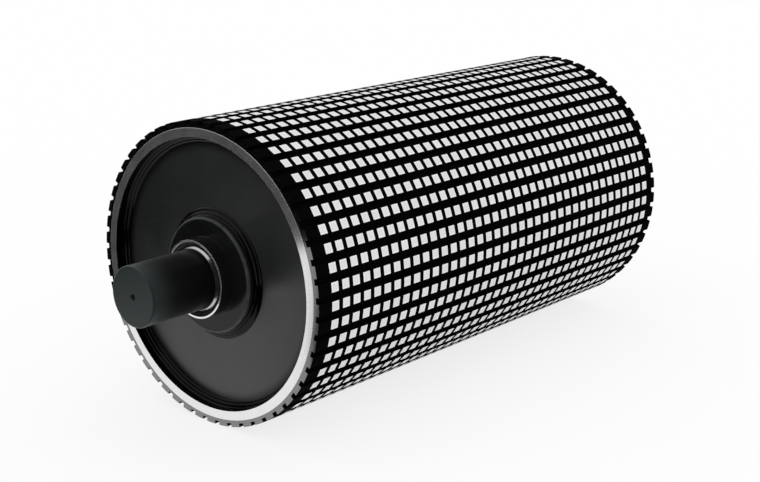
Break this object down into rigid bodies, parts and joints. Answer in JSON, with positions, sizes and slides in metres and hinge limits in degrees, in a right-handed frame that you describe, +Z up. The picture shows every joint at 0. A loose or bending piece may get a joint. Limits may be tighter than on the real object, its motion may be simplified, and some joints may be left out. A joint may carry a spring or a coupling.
{
  "type": "conveyor pulley drum",
  "caption": "Lagged steel drum on a fixed shaft that carries a conveyor belt over ceramic tiles set in grooved rubber.",
  "frame": {"origin": "the drum's centre, on its axis", "axes": "+Y along the drum's axis towards the rear end, +Z up, -Y towards the front end"},
  "size_m": [0.6, 1.506, 0.6],
  "materials": {
    "shaft_steel": "satin dark oiled steel",
    "shell_steel": "satin machined steel",
    "lagging_rubber": "matt black rubber",
    "tile_ceramic": "satin white ceramic",
    "disc_paint": "satin dark grey paint",
    "hub_paint": "satin near-black paint",
    "seal_rubber": "black seal rubber",
    "bright_steel": "ground bright steel",
    "spring_steel": "blued spring steel",
    "bearing_steel": "ground bearing steel",
    "cage_brass": "machined brass"
  },
  "bodies": {
    "shaft": {"shaft": "shaft_steel", "front_inner_ring": "bearing_steel", "front_seal_sleeve": "bright_steel", "front_circlip": "spring_steel", "rear_inner_ring": "bearing_steel", "rear_seal_sleeve": "bright_steel", "rear_circlip": "spring_steel"},
    "drum": {"shell": "shell_steel", "rubber_lagging": "lagging_rubber", "ceramic_tiles_1": "tile_ceramic", "ceramic_tiles_2": "tile_ceramic", "ceramic_tiles_3": "tile_ceramic", "ceramic_tiles_4": "tile_ceramic", "front_end_disc": "disc_paint", "rear_end_disc": "disc_paint", "front_hub": "hub_paint", "rear_hub": "hub_paint", "front_rim_weld": "disc_paint", "rear_rim_weld": "disc_paint", "front_hub_weld": "disc_paint", "rear_hub_weld": "disc_paint", "front_bearing_cover": "hub_paint", "rear_bearing_cover": "hub_paint", "front_shaft_seal": "seal_rubber", "rear_shaft_seal": "seal_rubber", "front_inner_seal": "seal_rubber", "rear_inner_seal": "seal_rubber", "front_outer_ring": "bearing_steel", "rear_outer_ring": "bearing_steel"},
    "front_ball_cage": {"front_cage": "cage_brass", "front_balls": "bearing_steel"},
    "rear_ball_cage": {"rear_cage": "cage_brass", "rear_balls": "bearing_steel"}
  },
  "joints": [
    {"name": "drum_spin", "type": "hinge", "parent": "shaft", "child": "drum", "pos_m": [0, 0, 0], "axis": [0, 1, 0], "continuous": true},
    {"name": "front_cage_turn", "type": "hinge", "parent": "shaft", "child": "front_ball_cage", "pos_m": [0, 0, 0], "axis": [0, 1, 0], "continuous": true},
    {"name": "rear_cage_turn", "type": "hinge", "parent": "shaft", "child": "rear_ball_cage", "pos_m": [0, 0, 0], "axis": [0, 1, 0], "continuous": true}
  ],
  "couplings": [
    {"joint": "front_cage_turn", "follows": "drum_spin", "ratio": 0.5635},
    {"joint": "rear_cage_turn", "follows": "drum_spin", "ratio": 0.5635}
  ]
}
